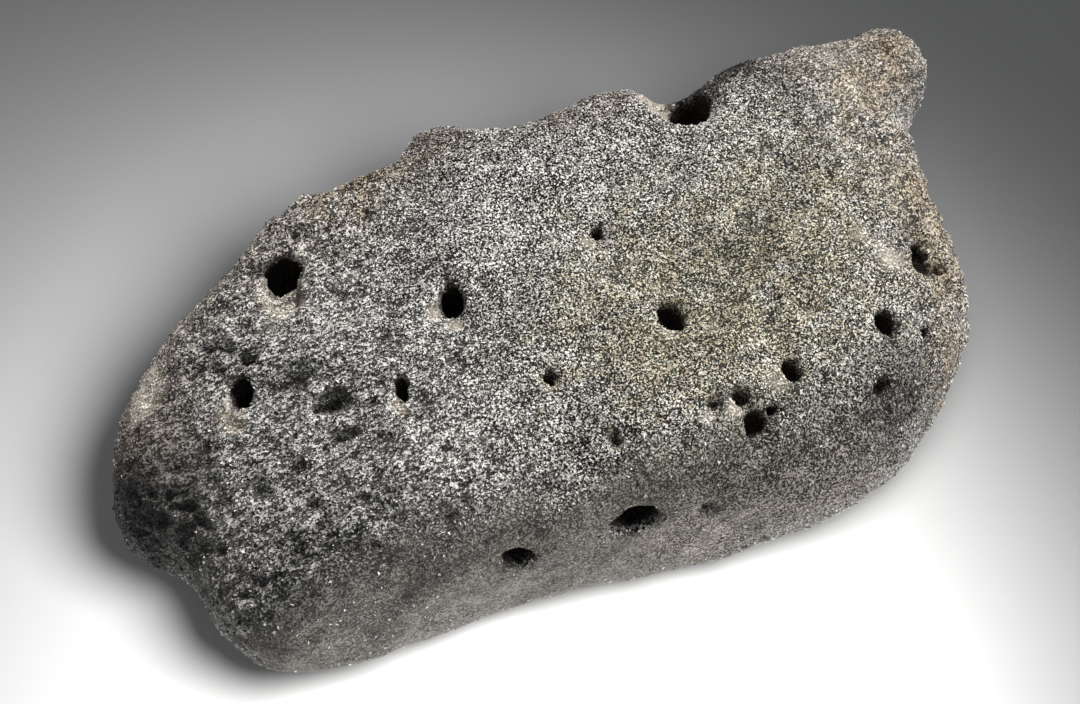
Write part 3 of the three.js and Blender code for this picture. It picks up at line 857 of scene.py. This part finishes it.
# %% [markdown]
# ## Keeping it all on the mesh
#
# The material can't see these arrays, but it can read what a mesh carries at its points. So the
# stains, the regions and the pale rock with its painted highlights go into three colour
# attributes, which stay on the stone from every side and need no unwrapping. Their channels are
# only numbers: the second attribute holds four regions in its red, green, blue and alpha, and the
# last two, the pits and the low places, drive painted shade.

# %% Keep stains and regions on the mesh
# Darkness for the low places of the relief, which the finish paints as shade.
low_place_shade = ramp(-relief, 0.05, 0.5)
in_pit *= 1 - ramp(pale_and_lit, 0.1, 0.35)
for name, values in {
    "stain": np.column_stack([stain_colour, 1 - bare]),
    "region": np.column_stack([harsh, worn, in_pit, low_place_shade]),
    "pale_and_lit": np.column_stack([pale_and_lit, pale_and_lit, pale_and_lit, pale_and_lit]),
}.items():
    layer = stone_mesh.attributes.new(name, "FLOAT_COLOR", "POINT")
    layer.data.foreach_set("color", values.astype(np.float32).ravel())
    print(name, "mean:", values.mean(axis=0).round(2))

# %% [markdown]
# ## Crystals that stand proud
#
# The larger crystals are harder than the rock between them, so wear leaves them standing, and a
# fingertip feels them as grit. Particles or instances could scatter them, but instances are lost
# on the way to other programs, and tens of thousands of separate objects would choke Blender. So
# the places are drawn as arrays: faces of the skin are chosen at random, a large one oftener than
# a small one, and a point is taken anywhere on each. Few crystals are left on the worn front side
# and the left rim, and none in the pits or on the pale rock and its painted highlights.

# %% Choose a place for each crystal
CRYSTALS = 38000
CRYSTAL_SIZES = (0.26, 0.5)
SUNK_IN = 0.08  # for the crystal's size

chance = np.random.default_rng(SEED + 2)
corners = points[faces]
across = np.cross(corners[:, 2] - corners[:, 0], corners[:, 3] - corners[:, 1])
twice_area = np.linalg.norm(across, axis=1)
bare_of_grit = np.maximum.reduce([worn, ramp(in_pit, 0.05, 0.4), ramp(pale_and_lit, 0.2, 0.6)])
grit = (0.6 - 0.25 * harsh) * (1 - bare_of_grit) * ramp(points[:, 2], 0.5, 1.2)
weight = twice_area * grit[faces].mean(axis=1)
chosen = chance.choice(len(faces), CRYSTALS, p=weight / weight.sum())
u, v = chance.uniform(0, 1, (2, CRYSTALS, 1))
a, b, c, d = np.moveaxis(corners[chosen], 1, 0)
middles = (a * (1 - u) + b * u) * (1 - v) + (d * (1 - u) + c * u) * v
size = chance.uniform(*CRYSTAL_SIZES, (CRYSTALS, 1))
middles -= SUNK_IN * size * across[chosen] / twice_area[chosen, None]
print("crystals chosen:", CRYSTALS, "of sizes from", CRYSTAL_SIZES[0], "to", CRYSTAL_SIZES[1], "mm")

# %% [markdown]
# ## One mesh of wedges
#
# Each crystal is a closed wedge with four flat faces, half sunk in the skin and turned at random,
# so that some faces glint and others go dark. A cube would look like salt, and a ball like sand.
# A random turn comes from squaring up a random table of nine numbers. All the wedges are joined
# in one mesh, which Blender draws as easily as one stone.

# %% Turn each crystal its own way and join them
WEDGE = np.array([[1, 1, 1], [1, -1, -1], [-1, 1, -1], [-1, -1, 1]]) / math.sqrt(3)
WEDGE_FACES = np.array([[0, 1, 2], [0, 3, 1], [0, 2, 3], [1, 3, 2]])
WEDGE_STRETCH = (0.7, 1.25)

turn = chance.normal(size=(CRYSTALS, 3, 3))
turn, _ = np.linalg.qr(turn)
turn *= np.linalg.det(turn)[:, None, None]
shape = WEDGE * chance.uniform(*WEDGE_STRETCH, (CRYSTALS, 1, 3)) * size[:, None] / 2
crystal_points = (middles[:, None] + shape @ turn).reshape(-1, 3)
crystal_faces = (4 * np.arange(CRYSTALS)[:, None, None] + WEDGE_FACES).reshape(-1, 3)
crystal_mesh = bpy.data.meshes.new("crystals")
crystal_mesh.from_pydata((crystal_points * MM).tolist(), [], crystal_faces.tolist())
crystals = bpy.data.objects.new("meteorite_crystals", crystal_mesh)
bpy.context.scene.collection.objects.link(crystals)
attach(crystals, "root")
print("triangles in the crystals:", len(crystal_faces))

# %% [markdown]
# ## Four minerals
#
# The crystals are of pale, grey and dark minerals, and of a tan one where the rock is stained.
# Each crystal is of one mineral, so its variety comes from its neighbours and not from a pattern
# inside a third of a millimetre. Chance deals the minerals out, and then the stain below has its
# say: stained crystals lose their whiteness, warm stains make them tan, and soot and painted
# shade make them dark.

# %% Deal out the minerals
MINERALS = [  # name, colour and roughness
    ("pale_mineral", (0.86, 0.84, 0.80), 0.45),
    ("grey_mineral", (0.42, 0.40, 0.37), 0.5),
    ("dark_mineral", (0.016, 0.015, 0.014), 0.35),
    ("tan_mineral", (0.60, 0.50, 0.36), 0.6),
]
PALE, GREY, DARK, TAN = range(len(MINERALS))
MIXTURE = (0.56, 0.24, 0.20)  # pale, grey and dark
WARM_SPREAD = 0.15
SOOT_AND_SHADE_BRIGHTNESS = 0.12

for name, mineral_colour, mineral_roughness in MINERALS:
    mineral = bpy.data.materials.new(name)
    mineral.use_nodes = True
    shader = mineral.node_tree.nodes["Principled BSDF"]
    shader.inputs["Base Color"].default_value = (*mineral_colour, 1)
    shader.inputs["Roughness"].default_value = mineral_roughness
    crystal_mesh.materials.append(mineral)
kind = chance.choice(len(MIXTURE), CRYSTALS, p=MIXTURE)
beneath = faces[chosen, 0]
stained = (1 - bare)[beneath] > chance.uniform(0.25, 0.75, CRYSTALS)
warm = np.ptp(stain_colour[beneath], axis=1) > WARM_SPREAD
# Crystals under soot and painted shade turn dark.
sooty_and_shaded = stain_colour[beneath].max(axis=1) < SOOT_AND_SHADE_BRIGHTNESS
kind[stained & (kind == PALE)] = GREY
kind[stained & warm & (kind == GREY)] = TAN
kind[stained & sooty_and_shaded] = DARK
face_kinds = np.repeat(kind, len(WEDGE_FACES)).astype(np.int32)
crystal_mesh.polygons.foreach_set("material_index", face_kinds)
print("crystals of each mineral:", np.bincount(kind, minlength=len(MINERALS)))

# %% [markdown]
# ## The stony finish
#
# Close up, the rock is a tight mass of pale and dark mineral grains, a quarter of a millimetre
# across. A grain shows by its own colour, by standing a little proud of its dark surroundings,
# and by a flat face that glints when it happens to face the light. So one pattern of grains
# drives colour, height and glints together, which looks far more like rock than three patterns
# that know nothing of each other. All of it is noise in the stone's own coordinates. A material
# with so many nodes is easier to write than to wire by hand, given a few short helpers.

# %% Helpers for nodes
stone = bpy.data.materials.new("granular_stone")
stone.use_nodes = True
tree = stone.node_tree
tree.nodes.clear()


def node(kind, inputs=None, **settings):
    """A new node with its settings, and its inputs by name as values or links."""
    made = tree.nodes.new("ShaderNode" + kind)
    for name, value in settings.items():
        setattr(made, name, value)
    for name, value in (inputs or {}).items():
        if isinstance(value, bpy.types.NodeSocket):
            tree.links.new(value, made.inputs[name])
        else:
            made.inputs[name].default_value = value
    return made


def calculate(operation, *values):
    """A sum of one or two numbers or links."""
    return node("Math", dict(enumerate(values)), operation=operation).outputs[0]


def times(value, amount):
    """A number made larger or smaller."""
    return calculate("MULTIPLY", value, amount)


def vector(operation, first, second):
    """A sum of two vectors, or of a vector and a number for its length."""
    inputs = {0: first, "Scale" if operation == "SCALE" else 1: second}
    return node("VectorMath", inputs, operation=operation).outputs[0]


def mixed(factor, first, second):
    """Two colours mixed."""
    return node("Mix", {0: factor, 6: first, 7: second}, data_type="RGBA").outputs[2]


def blended(factor, first, second):
    """Two numbers mixed."""
    return node("Mix", {0: factor, 2: first, 3: second}).outputs[0]


def between(value, start, end, low=0.0, high=1.0):
    """A number stretched from one range to another, and held inside it."""
    inputs = {"Value": value, "From Min": start, "From Max": end, "To Min": low, "To Max": high}
    return node("MapRange", inputs).outputs[0]


def cloud(scale, detail=2.0, roughness=0.5, distortion=0.0, at=None):
    """Soft noise from 0 to 1; scale is lumps in a millimetre."""
    inputs = {"Vector": at or place, "Scale": scale, "Detail": detail}
    inputs |= {"Roughness": roughness, "Distortion": distortion}
    return node("TexNoise", inputs).outputs["Fac"]


print("node helpers are ready")

# %% [markdown]
# ## What the finish can read
#
# The finish has to know where it is on the stone, and what the mesh keeps at that place. Object
# coordinates belong to the stone and not to the room, so the grain would stay with the stone if
# it were moved. They come in metres and are made millimetres here. An attribute node hands on
# what the mesh keeps under a name, and its channels are taken apart again into the four regions.

# %% Read the place and what the mesh carries
place = vector("MULTIPLY", node("TexCoord").outputs["Object"], (1 / MM,) * 3)
stain = node("Attribute", attribute_name="stain")
region = node("Attribute", attribute_name="region")
pale_and_lit_here = node("Attribute", attribute_name="pale_and_lit").outputs["Fac"]
harsh_here, worn_here, pit_here = node("SeparateColor", {0: region.outputs["Color"]}).outputs
low_shade_here = region.outputs["Alpha"]
print("nodes that read the mesh:", len(tree.nodes))

# %% [markdown]
# ## One number for the grain
#
# A Voronoi texture alone looks like a mosaic, and noise alone like a cloud. Added up they give
# crystals of all shapes: the cells break up the noise, and the noise joins some cells in threads.
# Where the stone is harsh the threads run along it, as its ridges do. Patches some millimetres
# wide make the mixture uneven, and low places of the relief are a little darker, as painted shade.

# %% Add up the grain
GRAIN = 0.165  # mm across a cell
CELL_SHARE = 0.28
STREAK_SHARE = 0.65  # of the threads, where harsh
HARSH_PAINTED_LIGHT = 0.04
PATCH_SHARE = 0.22
LOW_SHADE_SHARE = 0.05
GRAIN_RANGE = (0.565, 0.74)

cells = node("TexVoronoi", {"Vector": place, "Scale": 1 / GRAIN, "Randomness": 1.0})
cell_shade, cell_glint = node("SeparateColor", {0: cells.outputs["Color"]}).outputs[:2]
threads = cloud(0.95 / GRAIN, detail=1.2, roughness=0.5, distortion=0.6)
patches = cloud(0.42, detail=3.0, roughness=0.6)
stretched = node("Mapping", {"Vector": place, "Scale": tuple(ALONG)}).outputs[0]
streaks = cloud(3.2, detail=1.5, roughness=0.5, distortion=0.3, at=stretched)
threads = blended(times(harsh_here, STREAK_SHARE), threads, streaks)
grain = calculate("ADD", times(cell_shade, CELL_SHARE), threads)
# Harsh parts are made a little paler, as painted light.
grain = calculate("ADD", grain, times(harsh_here, HARSH_PAINTED_LIGHT))
grain = calculate("ADD", grain, times(calculate("SUBTRACT", patches, 0.5), PATCH_SHARE))
# Low places are made darker here, as painted shade.
grain = calculate("SUBTRACT", grain, times(low_shade_here, LOW_SHADE_SHARE))
grain = between(grain, *GRAIN_RANGE)
print("nodes with the grain:", len(tree.nodes))

# %% [markdown]
# ## From grain to minerals
#
# A colour ramp turns the grain's number into minerals. The dark ones are nearly black and the
# pale ones nearly white, with only a narrow grey between them. That contrast is what makes the
# stone sparkle from a step away, where the eye can no longer tell the grains apart.

# %% Pale and dark minerals
minerals = node("ValToRGB", {0: grain})
SHADES = [  # from the darkest mineral to the palest
    (0.30, (0.005, 0.005, 0.005, 1)),
    (0.42, (0.016, 0.015, 0.014, 1)),
    (0.52, (0.18, 0.171, 0.16, 1)),
    (0.62, (0.66, 0.64, 0.60, 1)),
    (0.76, (0.95, 0.93, 0.90, 1)),
]
for _ in SHADES[2:]:
    minerals.color_ramp.elements.new(0.5)
for stop, (position, shade) in zip(minerals.color_ramp.elements, SHADES):
    stop.position, stop.color = position, shade
print("mineral shades:", len(minerals.color_ramp.elements))

# %% [markdown]
# ## Wear, stains and pits
#
# Everything that has happened to the rock lies over the minerals, in the order in which it
# happened. Wear hides the grains under an even grey, and knocks leave pale dust on harsh parts.
# A stain takes on the brightness of the minerals, so that the grains still show through it. Low
# places are made darker as painted shade, pits are painted nearly black inside as shade, and
# pale lips, cream rock that is also painted highlight, come last.

# %% Cover the minerals
WORN_GREYS = (0.10, 0.088, 0.074, 1), (0.25, 0.219, 0.184, 1)
KNOCKED_GREY = (0.46, 0.44, 0.41, 1)
# The colour of the painted shade in low places.
PAINTED_LOW_SHADE = (0.05, 0.046, 0.042, 1)
# The colour of the painted shade inside the pits.
PAINTED_PIT_SHADE = (0.020, 0.013, 0.009, 1)
# Cream rock on the lips, painted close to white as a highlight.
LIP_CREAMS_AND_HIGHLIGHTS = (0.66, 0.565, 0.44, 1), (0.96, 0.915, 0.83, 1)
# In these covers the low places and the pits are painted shade, and the lips are cream rock and
# painted highlight.
COVER = {"wear": 0.84, "knocks": 0.28, "stain": 0.9, "painted low shade": 0.3, "pit": 0.92, "lip": 0.97}
PALEST_STAIN = 0.9

worn_grey = mixed(between(patches, 0.3, 0.7), *WORN_GREYS)
colour = mixed(times(worn_here, COVER["wear"]), minerals.outputs[0], worn_grey)
colour = mixed(times(harsh_here, COVER["knocks"]), colour, KNOCKED_GREY)
brightness = node("RGBToBW", {0: minerals.outputs[0]}).outputs[0]
tinted = vector("SCALE", stain.outputs["Color"], between(brightness, 0, 0.6, 0.16, 1.5))
tinted = vector("MINIMUM", tinted, (PALEST_STAIN,) * 3)
colour = mixed(times(stain.outputs["Alpha"], COVER["stain"]), colour, tinted)
colour = mixed(times(low_shade_here, COVER["painted low shade"]), colour, PAINTED_LOW_SHADE)
# Pits are painted nearly black inside, as shade.
colour = mixed(times(pit_here, COVER["pit"]), colour, PAINTED_PIT_SHADE)
lip = mixed(between(brightness, 0.0, 0.6), *LIP_CREAMS_AND_HIGHLIGHTS)
colour = mixed(between(pale_and_lit_here, 0.2, 0.65, 0.0, COVER["lip"]), colour, lip)
print("nodes with the covers:", len(tree.nodes))

# %% [markdown]
# ## Glints and height
#
# Every cell has a flat face of its own, tilted by adding the cell's random colour to the
# direction of the skin, and one cell in five or so is smooth. That is what makes single grains
# flash as the stone is turned. The same grain number raises the pale grains in the bump, most
# where the stone is harsh and least where it is worn, and a broader noise adds small ridges.

# %% Glints, roughness and height
GLINT_TILT = 0.9
GLINTING = (0.80, 0.84)  # cells whose own number is above this are smooth
DULL, SHINY = 0.82, 0.34
RIDGE_HEIGHTS = (0.12, 1.05)  # in mm, where even and where harsh
GRAIN_HEIGHTS = (0.34, 0.06)  # in mm, where fresh and where worn
HARSH_GAIN = 2.2  # the grain's height where harsh, for its height elsewhere

tilt = vector("SUBTRACT", cells.outputs["Color"], (0.5, 0.5, 0.5))
tilt = vector("SCALE", tilt, GLINT_TILT)
facing = vector("ADD", node("NewGeometry").outputs["Normal"], tilt)
facing = node("VectorMath", {0: facing}, operation="NORMALIZE").outputs[0]
glint = times(between(cell_glint, *GLINTING), between(pit_here, 0.0, 0.4, 1.0, 0.0))
roughness = between(glint, 0.0, 1.0, DULL, SHINY)

ridge_height = cloud(1.1, detail=2.0, roughness=0.55, at=stretched)
ridge_height = times(ridge_height, between(harsh_here, 0.0, 1.0, *RIDGE_HEIGHTS))
grain_height = times(grain, between(worn_here, 0.0, 1.0, *GRAIN_HEIGHTS))
grain_height = times(grain_height, between(harsh_here, 0.0, 1.0, 1.0, HARSH_GAIN))
height = calculate("ADD", grain_height, ridge_height)
bump = node("Bump", {"Height": height, "Distance": MM, "Strength": 1.0, "Normal": facing}).outputs[0]
print("nodes with the height:", len(tree.nodes))

# %% [markdown]
# ## One surface for the whole stone
#
# Rock is neither metal nor clear, so a plain principled surface is enough, and other programs
# understand it. It takes the colour, the roughness and the height from the nodes above. Its
# specular level is the same all over and lower than usual, because a worn skin is full of dust
# and dents and mirrors little.

# %% Put the stone's surface together
surface = node("BsdfPrincipled", {"Base Color": colour, "Roughness": roughness, "Normal": bump})
surface.inputs["Specular IOR Level"].default_value = 0.3
node("OutputMaterial", {"Surface": surface.outputs[0]})
stone_mesh.materials.append(stone)
print("nodes in the stony finish:", len(tree.nodes))

# %% [markdown]
# ## The floor
#
# A pale plain floor meets the stone, and nothing else does. It is one flat face, forty times as
# wide as the stone is long, and it isn't part of the stone. It lies a tenth of a millimetre low,
# so that it and the flat under the stone aren't in the same plane, where a renderer can't tell
# which of the two is in front.

# %% Lay the floor
FLOOR_SIDE = 4.0
FLOOR_DROP = 0.1 * MM
PAPER_WHITE = (0.60, 0.60, 0.595, 1)

half = FLOOR_SIDE / 2
floor_corners = [(-half, -half, 0), (half, -half, 0), (half, half, 0), (-half, half, 0)]
floor_mesh = bpy.data.meshes.new("floor")
floor_mesh.from_pydata(floor_corners, [], [(0, 1, 2, 3)])
floor = bpy.data.objects.new("floor", floor_mesh)
floor.location.z = -FLOOR_DROP
bpy.context.scene.collection.objects.link(floor)
paper = bpy.data.materials.new("pale_paper")
paper.use_nodes = True
paper_shader = paper.node_tree.nodes["Principled BSDF"]
paper_shader.inputs["Base Color"].default_value = PAPER_WHITE
paper_shader.inputs["Roughness"].default_value = 0.9
floor_mesh.materials.append(paper)
print("floor side, m:", FLOOR_SIDE)

# %% [markdown]
# ## Light on the stone
#
# The key light is soft and hangs behind and above, to the right: it rakes over the upper face, so
# that every grain and ridge throws a small shadow, and it leaves the pits black. A broad, low
# fill from the front right brings out the right end and the front side. Light linking lets both
# shine on the stone alone, because a key strong enough for dark rock would bleach the floor.

# %% Hang the lights over the stone


def hang_light(name, towards, distance, size, watts, tint=(1, 1, 1)):
    """A square soft light in a direction from the stone, facing it."""
    lamp = bpy.data.objects.new(name, bpy.data.lights.new(name, "AREA"))
    direction = Vector(towards).normalized()
    lamp.location = LOOK_AT + direction * distance
    lamp.rotation_euler = direction.to_track_quat("Z", "Y").to_euler()
    lamp.data.size, lamp.data.energy, lamp.data.color = size, watts, tint
    lamp.visible_camera = False
    bpy.context.scene.collection.objects.link(lamp)
    return lamp


def light_group(name, *things):
    """A collection that a light can be told to shine on alone."""
    group = bpy.data.collections.new(name)
    for thing in things:
        group.objects.link(thing)
    return group


WARM_WHITE = (1, 0.985, 0.96)
key = hang_light("key", towards=(0.62, 0.62, 1.2), distance=0.5, size=0.08, watts=2.5, tint=WARM_WHITE)
low_fill = hang_light("low_fill", towards=(1.0, -0.6, 0.3), distance=0.4, size=0.2, watts=1.4)
stone_only = light_group("stone_only", meteorite, crystals)
for lamp in (key, low_fill):
    lamp.light_linking.receiver_collection = stone_only
print("lights on the stone:", key.name, low_fill.name)

# %% [markdown]
# ## A pool of light on the floor
#
# The floor has a light of its own: a spot close above the near side, with an edge as soft as a
# spot allows. It makes a bright pool that fades to grey at the back. It shines on the floor
# alone, but the stone still stands in its way and throws a soft shadow round its left end and
# back, which seats it on the floor. A weak pale sky fills what no light reaches.

# %% Light the floor and the room
POOL_FROM = Vector((-12, -46, 95)) * MM
POOL_AIM = Vector((-30, -22, 0)) * MM
POOL_ANGLE = math.radians(107)
POOL_WATTS = 1.1
POOL_SOFTNESS = 0.02
SKY = (0.9, 0.92, 0.95, 1)
SKY_STRENGTH = 0.16

pool = bpy.data.objects.new("pool_of_light", bpy.data.lights.new("pool_of_light", "SPOT"))
pool.location = POOL_FROM
pool.rotation_euler = (POOL_FROM - POOL_AIM).to_track_quat("Z", "Y").to_euler()
pool.data.spot_size, pool.data.spot_blend = POOL_ANGLE, 1.0
pool.data.energy, pool.data.shadow_soft_size = POOL_WATTS, POOL_SOFTNESS
pool.visible_camera = False
pool.light_linking.receiver_collection = light_group("floor_only", floor)
bpy.context.scene.collection.objects.link(pool)

world = bpy.data.worlds.new("pale_room")
bpy.context.scene.world = world
world.use_nodes = True
sky = world.node_tree.nodes["Background"]
sky.inputs["Color"].default_value = SKY
sky.inputs["Strength"].default_value = SKY_STRENGTH
bpy.context.scene.view_settings.view_transform = "Standard"
print("lights:", [lamp.name for lamp in bpy.data.lights])
